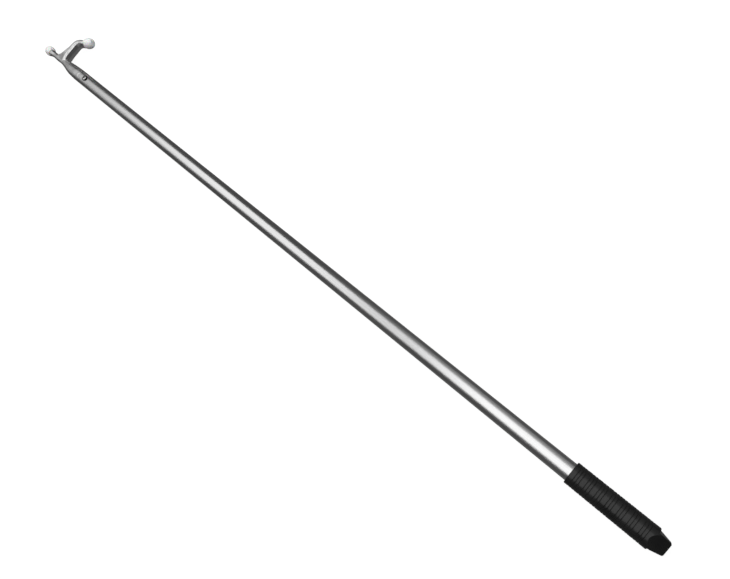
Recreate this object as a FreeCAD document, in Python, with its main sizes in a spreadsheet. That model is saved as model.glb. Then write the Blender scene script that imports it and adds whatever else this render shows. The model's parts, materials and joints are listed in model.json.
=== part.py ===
import FreeCAD, Part
import Sketcher
import math
import operator
import os

# A boat hook: a plain aluminium pole with a cast head at one end and a ribbed grip at the other.
# Frame: the origin is on the pole's axis, halfway along the bare tube. +X runs along the pole to
# the grip, +Y is the side that the hook's arm stands out on, and the head lies flat in the XY plane.
# Millimetres.

Vector = FreeCAD.Vector
Rotation = FreeCAD.Rotation
Placement = FreeCAD.Placement

# Driving dimensions: alias, value, meaning. Diameters and lengths in millimetres, turns in degrees.
SIZES = [
    ("tube_outer", 25.0, "pole tube, outside diameter"),
    ("tube_wall", 1.5, "pole tube, wall"),
    ("bare_length", 1146.0, "tube between the head's shoulder and the grip"),
    ("tube_in_grip", 104.0, "tube inside the grip"),
    ("screw_inset", 22.2, "head screws, distance from the head's shoulder"),
    ("screw_turn", 7.5, "head screws, turned from square towards the arm"),
    ("screw_head", 11.0, "head screw, pan head diameter"),
    ("screw_rise", 3.2, "head screw, pan head height"),
    ("screw_rim", 1.5, "head screw, straight side of its head"),
    ("screw_shank", 5.5, "head screw, shank diameter"),
    ("screw_point", 3.0, "head screw, length of its point"),
    ("screw_reach", 11.0, "head screw, length under the head"),
    ("recess_width", 1.6, "head screw, width of a recess slot"),
    ("recess_span", 6.2, "head screw, length of a recess slot"),
    ("recess_depth", 2.2, "head screw, recess depth"),
    ("screw_clearance", 5.8, "screw hole in the tube, diameter"),
    ("spigot_play", 0.1, "radial gap between the tube and what fits inside it"),
    ("spigot_length", 46.0, "head spigot inside the tube"),
    ("spigot_core", 11.0, "cored hole in the spigot, diameter"),
    ("core_depth", 40.0, "cored hole in the spigot, depth"),
    ("shoulder_bevel", 0.5, "head, bevel at the shoulder"),
    ("shoulder_side", 14.0, "head, length of its plain round part"),
    ("spike_reach", 122.5, "shoulder to the end of the spike, under its cap"),
    ("spike_pin", 8.0, "pin that holds the spike's cap, diameter"),
    ("spike_pin_length", 11.0, "pin that holds the spike's cap, length"),
    ("hook_pin", 8.4, "pin that holds the hook's cap, diameter"),
    ("hook_pin_length", 10.0, "pin that holds the hook's cap, length"),
    ("cap_play", 0.05, "radial gap between a cap and its pin"),
    ("cap_end_play", 0.5, "gap between a cap and the end of its pin"),
    ("spike_cap_outer", 19.0, "spike cap, largest diameter"),
    ("spike_cap_mouth", 14.2, "spike cap, rear face diameter"),
    ("spike_cap_swell", 7.0, "spike cap, rear face to its full diameter"),
    ("spike_cap_side", 9.0, "spike cap, rear face to the start of its round end"),
    ("hook_cap_outer", 21.4, "hook cap, largest diameter"),
    ("hook_cap_mouth", 17.4, "hook cap, rear face diameter"),
    ("hook_cap_swell", 7.0, "hook cap, rear face to its full diameter"),
    ("hook_cap_length", 18.1, "hook cap, whole length"),
    ("hook_cap_end", 11.0, "hook cap, end diameter before its rounding"),
    ("hook_cap_edge", 2.5, "hook cap, rounding at its flat end"),
    ("grip_outer", 30.7, "grip, outside diameter"),
    ("grip_sleeve", 112.0, "grip, front edge to the end of its round part"),
    ("grip_bore_depth", 108.0, "grip, depth of the bore that takes the tube"),
    ("grip_bore_play", 0.05, "radial gap between the grip's bore and the tube"),
    ("grip_front_bevel", 0.8, "grip, bevel at the front edge"),
    ("grip_round", 1.5, "grip, rounding at the shoulder"),
    ("groove_start", 6.7, "grip, front edge to the middle of the first groove"),
    ("groove_step", 3.85, "grip, spacing of the grooves in a group of three"),
    ("groove_group_step", 14.62, "grip, spacing of the groups"),
    ("groove_groups", 7.0, "grip, number of groups"),
    ("groove_width", 1.5, "grip, width of a V groove"),
    ("groove_depth", 0.45, "grip, depth of a V groove"),
    ("tab_end", 129.1, "tab, its end measured from the grip's front edge"),
    ("tab_root_width", 23.6, "tab, width at the shoulder"),
    ("tab_end_width", 18.2, "tab, width at its end"),
    ("slope_start", 106.0, "tab, front edge of the grip to where its two slopes leave the round part"),
    ("tab_end_thickness", 6.0, "tab, thickness at its end"),
    ("tab_turn", 10.0, "tab, turned about the pole away from the arm's side"),
    ("tab_corner", 2.6, "tab, corner radius"),
    ("tab_edge", 0.8, "tab, edge rounding"),
    ("bung_length", 18.0, "tail plug inside the tube"),
    ("bung_flange", 2.0, "tail plug, flange thickness"),
    ("bung_rib_step", 4.5, "tail plug, spacing of its ribs"),
    ("bung_rib", 2.0, "tail plug, rib width"),
    ("bung_wall", 3.0, "tail plug, closed end thickness"),
    ("bung_relief", 0.8, "tail plug, depth between its ribs"),
    ("bung_core", 12.0, "tail plug, cored hole diameter"),
    ("float_length", 90.0, "foam float plug, length"),
    ("float_bevel", 2.0, "foam float plug, end bevel"),
    ("float_gap", 2.0, "gap between a foam float plug and what closes that end of the tube"),
]

# The head's trunk, from its plain round part to the spike's end: name, distance from the shoulder
# towards the tip, offset of the section's middle towards the arm, radius.
TRUNK = [
    ("straight", 14.0, 0.0, 12.5),
    ("taper_start", 21.0, 0.0, 12.3),
    ("taper_root", 28.5, 0.0, 11.95),
    ("taper", 44.2, 0.25, 10.7),
    ("waist_start", 53.7, 0.8, 9.4),
    ("waist", 61.7, 1.3, 8.25),
    ("crotch", 77.2, 1.4, 6.25),
    ("neck_rear", 86.7, 1.3, 6.15),
    ("neck", 96.7, 1.3, 6.1),
    ("neck_front", 109.5, 1.0, 5.4),
    ("spike_end", 122.5, 0.9, 6.1),
]

# The hook's arm. Each section is a nine-sided outline in a plane square to the arm's run: name,
# then the section's place (distance from the shoulder, distance out from the pole's axis) and the
# arm's heading (90 is straight out, 30 is mostly back towards the grip); then how far each long edge
# lies ahead of that place (front, front and rear edge of the flank, lower edge of the bevel, rear
# ridge), and how far it lies above and below the head's plane (the ridge is on it).
ARM_COLUMNS = ("ahead", "out", "heading", "front", "flank_front", "flank_rear", "bevel", "ridge",
               "front_half", "flank_front_half", "flank_rear_half", "bevel_half")
ARM = [
    ("buried", 76.0, -1.0, 90.0, 33.6, 30.6, -1.0, -7.4, -10.5, 2.0, 3.2, 6.0, 4.6),
    ("root", 76.0, 5.0, 90.0, 27.2, 23.2, -2.6, -7.0, -9.8, 3.0, 4.6, 8.2, 6.4),
    ("foot", 76.0, 10.0, 90.0, 18.6, 15.2, -2.8, -7.2, -9.2, 4.1, 6.9, 9.6, 7.6),
    ("calf", 76.0, 17.6, 90.0, 11.1, 8.3, -2.5, -6.2, -7.8, 4.9, 9.7, 10.0, 7.7),
    ("middle", 76.0, 29.0, 90.0, 7.4, 4.8, -2.7, -6.0, -7.4, 4.8, 9.6, 9.7, 7.3),
    ("top", 76.0, 40.0, 90.0, 5.6, 2.8, -2.6, -5.6, -7.6, 5.2, 9.7, 9.7, 7.4),
    ("bend", 70.0, 47.0, 60.0, 9.8, 6.6, 1.6, -1.4, -3.6, 5.2, 9.4, 9.4, 7.4),
    ("tip_start", 65.7, 54.8, 30.0, 5.1, 1.5, -2.7, -5.4, -7.4, 5.2, 9.4, 9.4, 7.7),
    ("tip", 58.7, 58.8, 30.0, 4.8, 1.2, -2.8, -5.4, -7.4, 5.0, 9.2, 9.2, 7.6),
]

doc = FreeCAD.newDocument("boat_hook")
sheet = doc.addObject("Spreadsheet::Sheet", "Sizes")


class Dim:
    """A dimension: the formula that holds it in the model, and its number now."""

    def __init__(self, formula, number):
        self.formula = formula
        self.number = float(number)

    def __add__(self, other):
        return joined(self, "+", operator.add, other)

    def __sub__(self, other):
        return joined(self, "-", operator.sub, other)

    def __mul__(self, other):
        return joined(self, "*", operator.mul, other)

    def __truediv__(self, other):
        return joined(self, "/", operator.truediv, other)

    def __neg__(self):
        return Dim("-" + self.formula, -self.number)


def as_dim(item):
    """A dimension as it is, and a plain number as a dimension."""
    return item if isinstance(item, Dim) else Dim(str(item), item)


def joined(first, sign, act, second):
    """Two dimensions joined by a sign, in the formula and in the number."""
    first, second = as_dim(first), as_dim(second)
    formula = "(%s %s %s)" % (first.formula, sign, second.formula)
    return Dim(formula, act(first.number, second.number))


def size(alias):
    """A driving dimension, from its cell in the sheet."""
    return Dim("Sizes." + alias, sheet.get(alias))


def fill_sheet():
    """Write every driving dimension into the sheet, one aliased cell each."""
    rows = list(SIZES)
    for name, along, offset, radius in TRUNK:
        rows.append((name + "_along", along, "trunk section, distance from the shoulder"))
        rows.append((name + "_offset", offset, "trunk section, offset towards the arm"))
        rows.append((name + "_radius", radius, "trunk section, radius"))
    for section in ARM:
        for column, number in zip(ARM_COLUMNS, section[1:]):
            rows.append((section[0] + "_" + column, number, "arm section, " + column))
    for row, (alias, number, meaning) in enumerate(rows, start=1):
        sheet.set("A%d" % row, meaning)
        sheet.set("B%d" % row, str(number))
        sheet.setAlias("B%d" % row, alias)
    doc.recompute()


def bind(item, key, dim):
    """Bind a property, or a part of one, to a dimension's formula."""
    item.setExpression(key, as_dim(dim).formula)


def place(item, key, x=0, y=0, z=0, axis=Vector(0, 0, 1), turn=0):
    """Bind a placement: its origin at (x, y, z), turned by some degrees about an axis."""
    setattr(item, key, Placement(Vector(0, 0, 0), Rotation(axis, 1.0)))
    bind(item, key + ".Base.x", x)
    bind(item, key + ".Base.y", y)
    bind(item, key + ".Base.z", z)
    bind(item, key + ".Rotation.Angle", turn)


def new_body(label, x=0, **how):
    """An empty body whose Label names the sub-part, placed x along the pole."""
    body = doc.addObject("PartDesign::Body", label)
    body.Label = label
    place(body, "Placement", x, **how)
    return body


def sketch_on(body, name, role, **how):
    """A sketch on one of the body's origin planes, or moved from it as place() says."""
    sketch = body.newObject("Sketcher::SketchObject", name)
    planes = [item for item in body.Origin.OriginFeatures if item.Role == role]
    sketch.AttachmentSupport = [(planes[0], "")]
    sketch.MapMode = "FlatFace"
    place(sketch, "AttachmentOffset", **how)
    return sketch


def constrain(sketch, dim, *how):
    """Add a driving constraint of a sketch, bound to a dimension."""
    row = sketch.addConstraint(Sketcher.Constraint(*how, dim.number))
    bind(sketch, "Constraints[%d]" % row, dim)


def hold(sketch, index, vertex, x, y):
    """Hold a vertex at (x, y). A plain 0 puts it on that axis of the sketch."""
    for kind, dim, axis in (("DistanceX", x, -2), ("DistanceY", y, -1)):
        if dim == 0:
            sketch.addConstraint(Sketcher.Constraint("PointOnObject", index, vertex, axis))
        else:
            constrain(sketch, as_dim(dim), kind, -1, 1, index, vertex)


def circle(sketch, x, y, radius):
    """A circle with its centre and radius held."""
    centre = Vector(as_dim(x).number, as_dim(y).number, 0)
    index = sketch.addGeometry(Part.Circle(centre, Vector(0, 0, 1), radius.number))
    hold(sketch, index, 3, x, y)
    constrain(sketch, radius, "Radius", index)


def clockwise_arc(start, end, radius):
    """The short arc that turns right from start to end."""
    chord = end - start
    rise = math.sqrt(radius ** 2 - (chord.Length / 2) ** 2)
    centre = (start + end) / 2 + Vector(chord.y, -chord.x, 0).normalize() * rise
    first = math.atan2(end.y - centre.y, end.x - centre.x)
    last = math.atan2(start.y - centre.y, start.x - centre.x)
    if last < first:
        last += 2 * math.pi
    return Part.ArcOfCircle(Part.Circle(centre, Vector(0, 0, 1), radius), first, last)


def outline(sketch, points):
    """A closed outline. A point is (x, y), or (x, y, radius) where a right-turning arc leaves it."""
    spots = [Vector(as_dim(point[0]).number, as_dim(point[1]).number, 0) for point in points]
    edges = []
    for here, start in enumerate(spots):
        end = spots[(here + 1) % len(spots)]
        if len(points[here]) == 2:
            index = sketch.addGeometry(Part.LineSegment(start, end))
            edges.append((index, 1, 2))
        else:
            radius = points[here][2]
            index = sketch.addGeometry(clockwise_arc(start, end, radius.number))
            edges.append((index, 2, 1))
            constrain(sketch, radius, "Radius", index)
    for here, (index, start, end) in enumerate(edges):
        following = edges[(here + 1) % len(edges)]
        sketch.addConstraint(Sketcher.Constraint("Coincident", index, end, following[0], following[1]))
        hold(sketch, index, start, points[here][0], points[here][1])


def bulge_radius(length, rise):
    """The radius of an arc that rises by some height over a length, and ends level."""
    return (length * length + rise * rise) / (rise * 2)


def pad(body, name, sketch, length, symmetric=False, backwards=False):
    """Pad a sketch."""
    feature = body.newObject("PartDesign::Pad", name)
    feature.Profile = sketch
    feature.SideType = "Symmetric" if symmetric else "One side"
    feature.Reversed = backwards
    bind(feature, "Length", length)
    return feature


def pocket(body, name, sketch, depth):
    """Cut a sketch down into the body."""
    feature = body.newObject("PartDesign::Pocket", name)
    feature.Profile = sketch
    bind(feature, "Length", depth)
    return feature


def drill_through(body, name, sketch):
    """Cut a sketch right through the body, both ways."""
    feature = body.newObject("PartDesign::Pocket", name)
    feature.Profile = sketch
    feature.SideType = "Symmetric"
    feature.Type = "ThroughAll"
    return feature


def turned(body, name, sketch, kind="PartDesign::Revolution"):
    """Turn a sketch, or cut with it, right round its horizontal axis."""
    feature = body.newObject(kind, name)
    feature.Profile = sketch
    feature.ReferenceAxis = (sketch, ["H_Axis"])
    feature.Angle = 360.0
    return feature


def loft(body, name, sketches):
    """A smooth solid through a row of sketches."""
    feature = body.newObject("PartDesign::AdditiveLoft", name)
    feature.Profile = sketches[0]
    feature.Sections = sketches[1:]
    return feature


def fillet(body, name, radius, chosen):
    """Round the edges of the body so far that chosen(edge) picks out."""
    doc.recompute()
    base = body.Tip
    names = ["Edge%d" % row for row, edge in enumerate(base.Shape.Edges, start=1) if chosen(edge)]
    feature = body.newObject("PartDesign::Fillet", name)
    feature.Base = (base, names)
    bind(feature, "Radius", radius)
    return feature


def inside_tube():
    """The radius of anything that slides into the tube."""
    return size("tube_outer") / 2 - size("tube_wall") - size("spigot_play")


def make_pole_tube():
    """The pole: one plain drawn tube, drilled through for the head's screws."""
    body = new_body("pole_tube", -size("bare_length") / 2, axis=Vector(1, 0, 0), turn=-size("screw_turn"))
    section = sketch_on(body, "tube_section", "YZ_Plane")
    circle(section, 0, 0, size("tube_outer") / 2)
    circle(section, 0, 0, size("tube_outer") / 2 - size("tube_wall"))
    pad(body, "tube", section, size("bare_length") + size("tube_in_grip"))
    holes = sketch_on(body, "tube_holes", "XY_Plane")
    circle(holes, size("screw_inset"), 0, size("screw_clearance") / 2)
    drill_through(body, "tube_screw_holes", holes)
    return body


def trunk_sketches(body):
    """Round sections of the head's trunk, from its plain part to the end of the spike."""
    sketches = []
    for name, _along, offset, _radius in TRUNK:
        sketch = sketch_on(body, "trunk_" + name, "YZ_Plane", z=-size(name + "_along"))
        circle(sketch, size(name + "_offset") if offset else 0, 0, size(name + "_radius"))
        sketches.append(sketch)
    return sketches


def arm_sketches(body):
    """Nine-sided sections of the hook's arm, each square to the arm's run."""
    sketches = []
    for section in ARM:
        cell = dict((column, size(section[0] + "_" + column)) for column in ARM_COLUMNS)
        sketch = sketch_on(body, "arm_" + section[0], "XZ_Plane", x=-cell["ahead"], z=-cell["out"],
                           axis=Vector(0, 1, 0), turn=cell["heading"] - 90)
        edges = ("bevel", "flank_rear", "flank_front", "front")
        upper = [(-cell[edge], cell[edge + "_half"]) for edge in edges]
        lower = [(x, -z) for x, z in reversed(upper)]
        outline(sketch, [(-cell["ridge"], 0)] + upper + lower)
        sketches.append(sketch)
    return sketches


def make_hook_head():
    """The cast head: a spigot in the tube, a tapering trunk and spike, and the hook's arm."""
    body = new_body("hook_head", -size("bare_length") / 2)
    tube_radius = size("tube_outer") / 2
    plain = sketch_on(body, "plain_outline", "XY_Plane")
    outline(plain, [
        (-size("shoulder_side"), 0),
        (-size("shoulder_side"), tube_radius),
        (-size("shoulder_bevel"), tube_radius),
        (0, tube_radius - size("shoulder_bevel")),
        (0, inside_tube()),
        (size("spigot_length"), inside_tube()),
        (size("spigot_length"), size("spigot_core") / 2),
        (size("spigot_length") - size("core_depth"), size("spigot_core") / 2),
        (size("spigot_length") - size("core_depth"), 0),
    ])
    turned(body, "spigot_and_shoulder", plain)
    loft(body, "trunk", trunk_sketches(body))

    spike_pin = sketch_on(body, "spike_pin_section", "YZ_Plane", z=-size("spike_reach"))
    circle(spike_pin, size("spike_end_offset"), 0, size("spike_pin") / 2)
    pad(body, "spike_pin", spike_pin, size("spike_pin_length"), backwards=True)

    loft(body, "arm", arm_sketches(body))

    hook_pin = sketch_on(body, "hook_pin_section", "XZ_Plane", x=-size("tip_ahead"), z=-size("tip_out"),
                         axis=Vector(0, 1, 0), turn=size("tip_heading") - 90)
    circle(hook_pin, 0, 0, size("hook_pin") / 2)
    pad(body, "hook_pin", hook_pin, size("hook_pin_length"), backwards=True)

    holes = sketch_on(body, "pilot_holes", "XY_Plane", axis=Vector(1, 0, 0), turn=-size("screw_turn"))
    circle(holes, size("screw_inset"), 0, size("screw_shank") / 2)
    drill_through(body, "head_pilot_holes", holes)
    return body


def make_spike_cap():
    """The white cap on the spike: a round-ended ferrule with a blind hole."""
    back = -size("bare_length") / 2 - size("spike_reach")
    body = new_body("spike_cap", back, y=size("spike_end_offset"), turn=180)
    bore = size("spike_pin") / 2 + size("cap_play")
    full = size("spike_cap_outer") / 2
    mouth = size("spike_cap_mouth") / 2
    swell = size("spike_cap_swell")
    side = size("spike_cap_side")
    hole = size("spike_pin_length") + size("cap_end_play")
    half = sketch_on(body, "spike_cap_outline", "XY_Plane")
    outline(half, [
        (0, bore),
        (0, mouth, bulge_radius(swell, full - mouth)),
        (swell, full),
        (side, full, full),
        (side + full, 0),
        (hole, 0),
        (hole, bore),
    ])
    turned(body, "spike_cap_turned", half)
    return body


def make_hook_cap():
    """The white cap on the hook: a short barrel with a blunt end and a blind hole."""
    body = new_body("hook_cap", -size("bare_length") / 2 - size("tip_ahead"), y=size("tip_out"),
                    turn=size("tip_heading"))
    bore = size("hook_pin") / 2 + size("cap_play")
    full = size("hook_cap_outer") / 2
    mouth = size("hook_cap_mouth") / 2
    end = size("hook_cap_end") / 2
    swell = size("hook_cap_swell")
    length = size("hook_cap_length")
    hole = size("hook_pin_length") + size("cap_end_play")
    half = sketch_on(body, "hook_cap_outline", "XY_Plane")
    outline(half, [
        (0, bore),
        (0, mouth, bulge_radius(swell, full - mouth)),
        (swell, full, bulge_radius(length - swell, full - end)),
        (length, end),
        (length, 0),
        (hole, 0),
        (hole, bore),
    ])
    turned(body, "hook_cap_turned", half)
    fillet(body, "hook_cap_rim", size("hook_cap_edge"),
           lambda edge: edge.BoundBox.XMin > length.number - 0.01)
    return body


def make_screw(label, turn):
    """A pan head screw with a cross recess, square to the pole and turned about its axis."""
    body = new_body(label, -size("bare_length") / 2 + size("screw_inset"), axis=Vector(1, 0, 0), turn=turn)
    rim = size("screw_head") / 2
    shank = size("screw_shank") / 2
    seat = size("tube_outer") / 2
    side = seat + size("screw_rim")
    top = seat + size("screw_rise")
    point = seat - size("screw_reach")
    # The outline is drawn along the sketch's horizontal axis, which the turn stands up on end.
    half = sketch_on(body, label + "_outline", "XZ_Plane", turn=90)
    outline(half, [
        (point, 0),
        (point + size("screw_point"), shank),
        (seat, shank),
        (seat, rim),
        (side, rim, bulge_radius(rim, top - side)),
        (top, 0),
    ])
    turned(body, label + "_turned", half)

    near, far = size("recess_width") / 2, size("recess_span") / 2
    arm = [(near, far), (near, near), (far, near)]
    cross = []
    for x_sign, y_sign, corners in ((1, 1, arm), (1, -1, arm[::-1]), (-1, -1, arm), (-1, 1, arm[::-1])):
        cross += [(x * x_sign, y * y_sign) for x, y in corners]
    slots = sketch_on(body, label + "_slots", "XY_Plane", z=top)
    outline(slots, cross)
    pocket(body, label + "_recess", slots, size("recess_depth"))
    return body


def make_head_screws():
    """The two screws through the tube into the head's spigot, one from each side of the pole."""
    pair = doc.addObject("Part::Compound", "head_screws")
    pair.Label = "head_screws"
    pair.Links = [
        make_screw("upper_screw", -size("screw_turn")),
        make_screw("lower_screw", -size("screw_turn") + 180),
    ]
    return pair


def make_hand_grip():
    """The moulded grip: a ribbed sleeve whose closed end is cut down to a wedge-shaped tab."""
    body = new_body("hand_grip", size("bare_length") / 2, axis=Vector(1, 0, 0), turn=size("tab_turn"))
    outer = size("grip_outer") / 2
    bore = size("tube_outer") / 2 + size("grip_bore_play")
    bevel = size("grip_front_bevel")
    sleeve = size("grip_sleeve")
    depth = size("grip_bore_depth")
    tab_end = size("tab_end")
    half = sketch_on(body, "grip_outline", "XY_Plane")
    outline(half, [
        (0, bore),
        (0, outer - bevel),
        (bevel, outer),
        (tab_end, outer),
        (tab_end, 0),
        (depth, 0),
        (depth, bore),
    ])
    turned(body, "sleeve", half)

    cuts = sketch_on(body, "groove_outline", "XY_Plane")
    for row in range(3):
        bottom = size("groove_start") + size("groove_step") * row
        start = bottom - size("groove_width") / 2
        end = bottom + size("groove_width") / 2
        floor = outer - size("groove_depth")
        outline(cuts, [(start, outer), (start, outer + 1), (end, outer + 1), (end, outer), (bottom, floor)])
    first = turned(body, "first_grooves", cuts, "PartDesign::Groove")
    doc.recompute()
    groups = body.newObject("PartDesign::LinearPattern", "groove_groups")
    groups.Originals = [first]
    groups.Direction = (cuts, ["H_Axis"])
    bind(groups, "Length", size("groove_group_step") * (size("groove_groups") - 1))
    bind(groups, "Occurrences", size("groove_groups"))
    body.Tip = groups

    past = tab_end + 1
    clear = outer + 1
    root = size("tab_root_width") / 2
    tip = size("tab_end_width") / 2
    flanks = sketch_on(body, "tab_flanks", "XY_Plane")
    outline(flanks, [(sleeve, root), (sleeve, clear), (past, clear), (past, tip), (tab_end, tip)])
    outline(flanks, [(sleeve, -root), (tab_end, -tip), (past, -tip), (past, -clear), (sleeve, -clear)])
    drill_through(body, "tab_sides", flanks)
    fillet(body, "tab_corners", size("tab_corner"),
           lambda edge: edge.BoundBox.XMin > tab_end.number - 0.01
           and edge.BoundBox.YLength < 0.01)
    fillet(body, "shoulder_rounding", size("grip_round"),
           lambda edge: abs(edge.BoundBox.Center.x - sleeve.number) < 0.01
           and edge.BoundBox.YLength > 1)

    thin = size("tab_end_thickness") / 2
    slopes = sketch_on(body, "tab_slopes", "XZ_Plane")
    foot = size("slope_start")
    outline(slopes, [(foot, outer), (foot, clear), (past, clear), (past, thin), (tab_end, thin)])
    outline(slopes, [(foot, -outer), (tab_end, -thin), (past, -thin), (past, -clear), (foot, -clear)])
    drill_through(body, "tab_taper", slopes)
    fillet(body, "tab_edges", size("tab_edge"),
           lambda edge: edge.BoundBox.XMin > tab_end.number - 0.01
           and edge.BoundBox.ZLength < 0.01)
    return body


def make_tail_plug():
    """The bung pressed into the tube's tail: a flange and a ribbed plug, cored from outside."""
    body = new_body("tail_plug", size("bare_length") / 2 + size("tube_in_grip"))
    snug = inside_tube()
    slack = snug - size("bung_relief")
    flange = size("bung_flange")
    wall = size("bung_wall")
    length = size("bung_length")
    points = [
        (flange, size("bung_core") / 2),
        (wall - length, size("bung_core") / 2),
        (wall - length, 0),
        (-length, 0),
        (-length, slack),
    ]
    for row in (3, 2, 1):
        back = -size("bung_rib_step") * row
        front = back + size("bung_rib")
        points += [(back, slack), (back, snug), (front, snug), (front, slack)]
    points += [(0, slack), (0, size("tube_outer") / 2), (flange, size("tube_outer") / 2)]
    half = sketch_on(body, "plug_outline", "XY_Plane")
    outline(half, points)
    turned(body, "plug_turned", half)
    return body


def make_float_plug(label, start):
    """A closed-cell foam plug inside the tube, which keeps a dropped boat hook afloat."""
    body = new_body(label, start)
    reach = inside_tube()
    bevel = size("float_bevel")
    length = size("float_length")
    half = sketch_on(body, label + "_outline", "XY_Plane")
    outline(half, [
        (0, 0),
        (0, reach - bevel),
        (bevel, reach),
        (length - bevel, reach),
        (length, reach - bevel),
        (length, 0),
    ])
    turned(body, label + "_turned", half)
    return body


def check_document():
    """Stop if any object of the document failed to build."""
    for item in doc.Objects:
        if {"Invalid", "Error"} & set(item.State):
            raise RuntimeError("%s: %s" % (item.Label, ", ".join(item.State)))


def export(parts):
    """Check each sub-part, then write it to a file of its own name."""
    for part in parts:
        if part.Shape.isNull() or not part.Shape.isValid():
            raise RuntimeError(part.Label + " has no valid shape")
    for part in parts:
        part.Shape.exportStep("parts/%s.step" % part.Label)
        print("%-16s %d solids %8.0f mm3" % (part.Label, len(part.Shape.Solids), part.Shape.Volume))


os.makedirs("parts", exist_ok=True)
fill_sheet()
tube_start = -size("bare_length") / 2
tube_end = size("bare_length") / 2 + size("tube_in_grip")
gap = size("float_gap")
parts = [
    make_pole_tube(),
    make_hook_head(),
    make_spike_cap(),
    make_hook_cap(),
    make_head_screws(),
    make_hand_grip(),
    make_tail_plug(),
    make_float_plug("float_plug_head", tube_start + size("spigot_length") + gap),
    make_float_plug("float_plug_tail", tube_end - size("bung_length") - size("float_length") - gap),
]
doc.recompute()
check_document()
export(parts)
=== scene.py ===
import json

import bpy
from mathutils import Matrix, Vector


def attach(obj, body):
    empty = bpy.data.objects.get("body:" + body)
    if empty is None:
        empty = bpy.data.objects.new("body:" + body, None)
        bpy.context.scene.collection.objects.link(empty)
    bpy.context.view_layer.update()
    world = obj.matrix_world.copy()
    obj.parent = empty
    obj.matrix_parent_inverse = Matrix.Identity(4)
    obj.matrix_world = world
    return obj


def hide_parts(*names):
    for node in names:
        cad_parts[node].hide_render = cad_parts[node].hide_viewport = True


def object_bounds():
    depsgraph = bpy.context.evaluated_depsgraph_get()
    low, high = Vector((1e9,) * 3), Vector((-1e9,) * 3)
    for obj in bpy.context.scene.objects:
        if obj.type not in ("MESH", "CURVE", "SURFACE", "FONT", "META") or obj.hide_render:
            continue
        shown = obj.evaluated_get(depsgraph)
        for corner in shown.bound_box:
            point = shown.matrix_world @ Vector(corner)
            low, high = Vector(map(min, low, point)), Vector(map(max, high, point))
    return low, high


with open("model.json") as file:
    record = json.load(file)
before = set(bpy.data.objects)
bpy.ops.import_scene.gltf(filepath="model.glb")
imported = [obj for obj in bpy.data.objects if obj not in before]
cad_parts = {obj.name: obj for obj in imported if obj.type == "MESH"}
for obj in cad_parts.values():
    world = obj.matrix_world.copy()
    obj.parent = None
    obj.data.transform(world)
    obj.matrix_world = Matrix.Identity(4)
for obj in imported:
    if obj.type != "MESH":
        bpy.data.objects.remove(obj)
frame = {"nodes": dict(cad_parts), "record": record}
cad_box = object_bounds()
scene = bpy.context.scene

# The looks of the boat hook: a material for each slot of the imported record, one piece that stands
# for the head, then the floor, the lights and the camera. Metres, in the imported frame: +X runs
# along the pole to the grip, +Y is the hook's side and +Z is up.

EVEN = (1.0, 1.0, 1.0)  # coordinates in plain metres, the same along every axis
ALONG_TUBE = (3.0, 900.0, 900.0)  # drawn streaks, long along the pole and fine across it
ROUND_TUBE = (6.0, 30.0, 30.0)  # blotches of the anodising, a little longer along the pole
SCREW_AXIS = (0.0, 0.1305, 0.9914)  # the screws lean 7.5 degrees from upright, towards the hook
FLOOR_REACH = 6.0  # the floor's middle to its sides
FLOOR_GAP = 0.0002  # the part's lowest point to the floor
CASTING_VOXEL = 0.0006  # grid of the head's new skin, finer than its smallest radius
CASTING_SMOOTHING = 10  # passes that round its edges and inside corners

# The lights: name, place, the point that it faces, its two sides, watts, and whether metal shows it.
# The tall ones hang over the pole in a row from the grip to far beyond the head, since the camera
# looks back along the pole and the metal mirrors all of them. The strips soften the row's edge on
# the hook's side, and the fills light only the white caps and the grip.
SOFTBOXES = [
    ("grip_side_softbox", (0.55, -0.35, 1.7), (0.55, -0.35, 0.0), 1.5, 3.0, 19.0, True),
    ("head_side_softbox", (-1.475, -0.35, 1.7), (-1.475, -0.35, 0.0), 2.05, 3.0, 21.2, True),
    ("head_side_edge", (-2.1, 1.37, 1.7), (-2.1, 1.37, 0.0), 1.0, 0.45, 1.5, True),
    ("far_softbox", (-3.5, -0.13, 1.7), (-3.5, -0.13, 0.0), 2.0, 4.05, 9.6, True),
    ("horizon_softbox", (-5.0, -0.8, 1.1), (-0.6, -0.05, 0.5), 4.0, 1.2, 5.0, True),
    ("near_strip", (0.4, 1.55, 1.65), (0.4, 0.0, 0.0), 2.0, 0.7, 1.9, True),
    ("side_strip", (0.4, 2.45, 1.1), (0.4, 0.0, 0.0), 2.0, 1.5, 1.9, True),
    ("fill", (-1.5, 0.5, 1.8), (-0.3, 0.0, 0.0), 2.4, 2.4, 25.0, False),
    ("head_fill", (0.1, 0.6, 0.5), (-0.63, 0.03, 0.0), 0.6, 0.6, 3.2, False),
]

CAMERA_LENS = 30.03  # millimetres, on a 36 mm wide sensor
CAMERA_PLACE = (0.573, 0.0, 0.822)
CAMERA_RIGHT = (0.7144, 0.6283, -0.3082)  # the picture's right, as a direction in the frame
CAMERA_BACK = (0.4114, -0.0208, 0.9112)  # from what the camera looks at to the camera


def new_material(name):
    """A material whose nodes are its Principled shader and its output."""
    material = bpy.data.materials.new(name)
    material.use_nodes = True
    tree = material.node_tree
    shader = tree.nodes["Principled BSDF"]
    return material, tree, shader


def link(tree, start, end):
    """Join one socket of a node tree to another."""
    tree.links.new(start, end)


def coordinates(tree, scale):
    """The object's own coordinates, in metres, times a scale along each axis."""
    source = tree.nodes.new("ShaderNodeTexCoord")
    mapping = tree.nodes.new("ShaderNodeMapping")
    mapping.inputs["Scale"].default_value = scale
    link(tree, source.outputs["Object"], mapping.inputs["Vector"])
    return mapping.outputs["Vector"]


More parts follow.
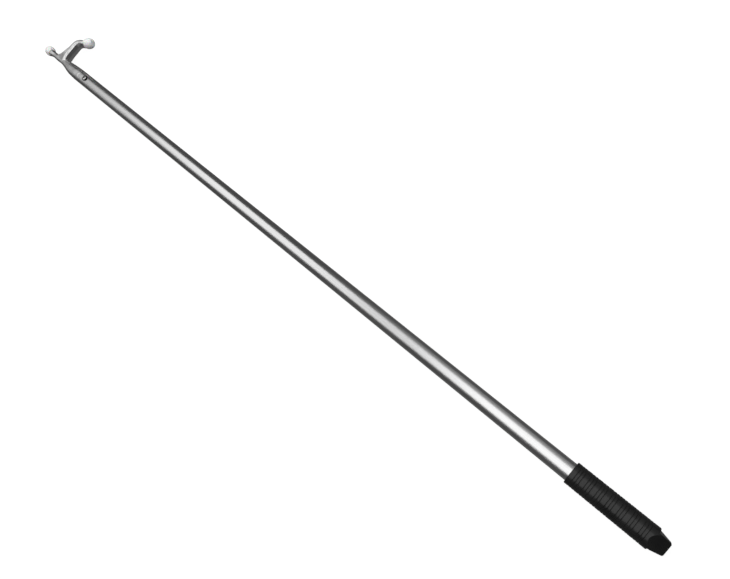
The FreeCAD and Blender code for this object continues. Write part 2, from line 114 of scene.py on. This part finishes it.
def noise(tree, vector, scale, detail=4.0, roughness=0.5):
    """Soft noise between 0 and 1."""
    node = tree.nodes.new("ShaderNodeTexNoise")
    node.inputs["Scale"].default_value = scale
    node.inputs["Detail"].default_value = detail
    node.inputs["Roughness"].default_value = roughness
    link(tree, vector, node.inputs["Vector"])
    return node.outputs["Fac"]


def remap(tree, value, low, high, to_low, to_high):
    """A value's span from low to high, spread over another span."""
    node = tree.nodes.new("ShaderNodeMapRange")
    node.inputs["From Min"].default_value = low
    node.inputs["From Max"].default_value = high
    node.inputs["To Min"].default_value = to_low
    node.inputs["To Max"].default_value = to_high
    link(tree, value, node.inputs["Value"])
    return node.outputs["Result"]


def ramp(tree, value, stops):
    """Greys along a value, given as (value, grey) stops."""
    node = tree.nodes.new("ShaderNodeValToRGB")
    elements = node.color_ramp.elements
    while len(elements) < len(stops):
        elements.new(0.5)
    for element, (position, grey) in zip(elements, stops):
        element.position = position
        element.color = (grey, grey, grey, 1.0)
    link(tree, value, node.inputs["Fac"])
    return node.outputs["Color"]


def bump(tree, height, strength, distance):
    """A normal that a height pattern roughens."""
    node = tree.nodes.new("ShaderNodeBump")
    node.inputs["Strength"].default_value = strength
    node.inputs["Distance"].default_value = distance
    link(tree, height, node.inputs["Height"])
    return node.outputs["Normal"]


def anodised_tube():
    """Drawn aluminium, anodised: fine streaks along the pole and a slightly uneven sheen."""
    material, tree, shader = new_material("anodised_tube")
    shader.inputs["Metallic"].default_value = 1.0
    streaks = noise(tree, coordinates(tree, ALONG_TUBE), 1.0, 3.0)
    blotches = noise(tree, coordinates(tree, ROUND_TUBE), 1.0, 3.0)
    link(tree, ramp(tree, streaks, [(0.3, 0.70), (0.7, 0.78)]), shader.inputs["Base Color"])
    link(tree, remap(tree, blotches, 0.3, 0.7, 0.27, 0.33), shader.inputs["Roughness"])
    link(tree, bump(tree, streaks, 0.08, 0.0001), shader.inputs["Normal"])
    return material


def cast_alloy():
    """Cast aluminium, tumbled smooth: a fine grain under a soft sheen."""
    material, tree, shader = new_material("cast_alloy")
    shader.inputs["Metallic"].default_value = 1.0
    grain = noise(tree, coordinates(tree, EVEN), 1400.0, 5.0, 0.6)
    clouds = noise(tree, coordinates(tree, EVEN), 90.0, 4.0)
    link(tree, ramp(tree, clouds, [(0.3, 0.66), (0.7, 0.76)]), shader.inputs["Base Color"])
    link(tree, remap(tree, clouds, 0.3, 0.7, 0.28, 0.36), shader.inputs["Roughness"])
    link(tree, bump(tree, grain, 0.25, 0.0002), shader.inputs["Normal"])
    return material


def white_plastic():
    """Soft white moulded plastic that lets a little light in."""
    material, tree, shader = new_material("white_plastic")
    clouds = noise(tree, coordinates(tree, EVEN), 160.0, 4.0)
    grain = noise(tree, coordinates(tree, EVEN), 2500.0, 3.0)
    link(tree, ramp(tree, clouds, [(0.3, 0.74), (0.7, 0.80)]), shader.inputs["Base Color"])
    link(tree, remap(tree, clouds, 0.3, 0.7, 0.32, 0.42), shader.inputs["Roughness"])
    link(tree, bump(tree, grain, 0.08, 0.0001), shader.inputs["Normal"])
    shader.inputs["Subsurface Weight"].default_value = 0.2
    shader.inputs["Subsurface Scale"].default_value = 0.002
    return material


def stainless_screw():
    """Steel screw heads, bright on top, with painted shade round the rim and down the side: the
    colour darkens to near black where the surface turns away from the screw's axis.
    """
    material, tree, shader = new_material("stainless_screw")
    shader.inputs["Metallic"].default_value = 1.0
    clouds = noise(tree, coordinates(tree, EVEN), 700.0, 4.0)
    metal = ramp(tree, clouds, [(0.3, 0.52), (0.7, 0.66)])
    source = tree.nodes.new("ShaderNodeTexCoord")
    along_axis = tree.nodes.new("ShaderNodeVectorMath")
    along_axis.operation = "DOT_PRODUCT"
    along_axis.inputs[1].default_value = SCREW_AXIS
    link(tree, source.outputs["Normal"], along_axis.inputs[0])
    upright = tree.nodes.new("ShaderNodeMath")
    upright.operation = "ABSOLUTE"
    link(tree, along_axis.outputs["Value"], upright.inputs[0])
    # Painted shade: the base colour falls to near black where the normal leans away from the screw's
    # axis, round each head's rim and down its side.
    painted_rim_shade = ramp(tree, upright.outputs["Value"], [(0.86, 0.03), (0.94, 1.0)])
    metal_with_painted_shade = tree.nodes.new("ShaderNodeVectorMath")
    metal_with_painted_shade.operation = "MULTIPLY"
    link(tree, metal, metal_with_painted_shade.inputs[0])
    link(tree, painted_rim_shade, metal_with_painted_shade.inputs[1])
    link(tree, metal_with_painted_shade.outputs["Vector"], shader.inputs["Base Color"])
    link(tree, remap(tree, clouds, 0.3, 0.7, 0.18, 0.30), shader.inputs["Roughness"])
    return material


def black_grip():
    """Black moulded plastic with a fine grain and a low sheen."""
    material, tree, shader = new_material("black_grip")
    clouds = noise(tree, coordinates(tree, EVEN), 60.0, 4.0)
    grain = noise(tree, coordinates(tree, EVEN), 3000.0, 3.0)
    link(tree, ramp(tree, clouds, [(0.3, 0.012), (0.7, 0.018)]), shader.inputs["Base Color"])
    shader.inputs["Specular IOR Level"].default_value = 0.33
    link(tree, remap(tree, clouds, 0.3, 0.7, 0.24, 0.30), shader.inputs["Roughness"])
    link(tree, bump(tree, grain, 0.15, 0.0001), shader.inputs["Normal"])
    return material


def hidden_plastic(name, low, high, scale):
    """Matt plastic or foam of the pieces inside the tube, with greys from low to high."""
    material, tree, shader = new_material(name)
    clouds = noise(tree, coordinates(tree, EVEN), scale, 5.0)
    link(tree, ramp(tree, clouds, [(0.3, low), (0.7, high)]), shader.inputs["Base Color"])
    link(tree, remap(tree, clouds, 0.3, 0.7, 0.6, 0.8), shader.inputs["Roughness"])
    link(tree, bump(tree, clouds, 0.4, 0.0003), shader.inputs["Normal"])
    return material


def make_head_casting():
    """The head as it comes from the mould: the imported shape, with foundry radii on its edges."""
    casting = bpy.data.objects.new("head_casting", frame["nodes"]["hook_head"].data.copy())
    scene.collection.objects.link(casting)
    skin = casting.modifiers.new("skin", "REMESH")
    skin.mode = "VOXEL"
    skin.voxel_size = CASTING_VOXEL
    skin.use_smooth_shade = True
    radii = casting.modifiers.new("radii", "SMOOTH")
    radii.factor = 0.5
    radii.iterations = CASTING_SMOOTHING
    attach(casting, "root")
    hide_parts("hook_head")


def make_floor(level):
    """A plain pale floor. It stays out of the metal's reflections, whose edges are dark."""
    mesh = bpy.data.meshes.new("floor")
    turns = [(-1, -1), (1, -1), (1, 1), (-1, 1)]
    corners = [(x * FLOOR_REACH, y * FLOOR_REACH, level) for x, y in turns]
    mesh.from_pydata(corners, [], [(0, 1, 2, 3)])
    floor = bpy.data.objects.new("floor", mesh)
    scene.collection.objects.link(floor)
    material, tree, shader = new_material("pale_floor")
    shader.inputs["Base Color"].default_value = (0.15, 0.15, 0.15, 1.0)
    shader.inputs["Roughness"].default_value = 0.9
    shader.inputs["Specular IOR Level"].default_value = 0.0
    shader.inputs["Emission Color"].default_value = (1.0, 1.0, 1.0, 1.0)
    shader.inputs["Emission Strength"].default_value = 0.93
    floor.data.materials.append(material)
    floor.visible_glossy = False
    floor.visible_diffuse = False


def make_softbox(name, place, target, size_x, size_y, power, mirrored):
    """A flat rectangular light. One that isn't mirrored only lights what isn't metal."""
    light = bpy.data.lights.new(name, "AREA")
    light.shape = "RECTANGLE"
    light.size = size_x
    light.size_y = size_y
    light.energy = power
    lamp = bpy.data.objects.new(name, light)
    lamp.location = place
    lamp.rotation_euler = (Vector(target) - Vector(place)).to_track_quat("-Z", "Y").to_euler()
    lamp.visible_glossy = mirrored
    scene.collection.objects.link(lamp)


def make_world():
    """Dark surroundings for the lights to stand out of, paler below, behind a pale backdrop."""
    world = bpy.data.worlds.new("studio")
    world.use_nodes = True
    tree = world.node_tree
    tree.nodes.clear()
    output = tree.nodes.new("ShaderNodeOutputWorld")
    seen = tree.nodes.new("ShaderNodeBackground")
    seen.inputs["Color"].default_value = (0.9, 0.9, 0.9, 1.0)
    unseen = tree.nodes.new("ShaderNodeBackground")
    unseen.inputs["Color"].default_value = (0.8, 0.8, 0.8, 1.0)
    direction = tree.nodes.new("ShaderNodeTexCoord")
    parts = tree.nodes.new("ShaderNodeSeparateXYZ")
    link(tree, direction.outputs["Generated"], parts.inputs["Vector"])
    below = remap(tree, parts.outputs["Z"], -0.65, -0.25, 0.17, 0.075)
    link(tree, below, unseen.inputs["Strength"])
    path = tree.nodes.new("ShaderNodeLightPath")
    mix = tree.nodes.new("ShaderNodeMixShader")
    link(tree, path.outputs["Is Camera Ray"], mix.inputs["Fac"])
    link(tree, unseen.outputs["Background"], mix.inputs[1])
    link(tree, seen.outputs["Background"], mix.inputs[2])
    link(tree, mix.outputs["Shader"], output.inputs["Surface"])
    scene.world = world


def make_camera():
    """The camera stands over the grip and looks back along the pole."""
    data = bpy.data.cameras.new("camera")
    data.sensor_width = 36.0
    data.lens = CAMERA_LENS
    data.clip_start = 0.01
    data.clip_end = 100.0
    camera = bpy.data.objects.new("camera", data)
    right = Vector(CAMERA_RIGHT).normalized()
    back = Vector(CAMERA_BACK)
    back = (back - right * back.dot(right)).normalized()
    up = back.cross(right)
    turn = Matrix((right, up, back)).transposed()
    camera.matrix_world = Matrix.Translation(CAMERA_PLACE) @ turn.to_4x4()
    scene.collection.objects.link(camera)
    scene.camera = camera


materials = {
    "anodised_tube": anodised_tube(),
    "cast_alloy": cast_alloy(),
    "white_plastic": white_plastic(),
    "stainless_screw": stainless_screw(),
    "black_grip": black_grip(),
    "plug_plastic": hidden_plastic("plug_plastic", 0.03, 0.05, 300.0),
    "float_foam": hidden_plastic("float_foam", 0.65, 0.8, 900.0),
}
for entry in frame["record"]["subparts"]:
    node = frame["nodes"][entry["node"]]
    node.data.materials.clear()
    node.data.materials.append(materials[entry["material_slot"]])
make_head_casting()
make_floor(cad_box[0].z - FLOOR_GAP)
make_world()
for softbox in SOFTBOXES:
    make_softbox(*softbox)
make_camera()
scene.view_settings.view_transform = "Standard"
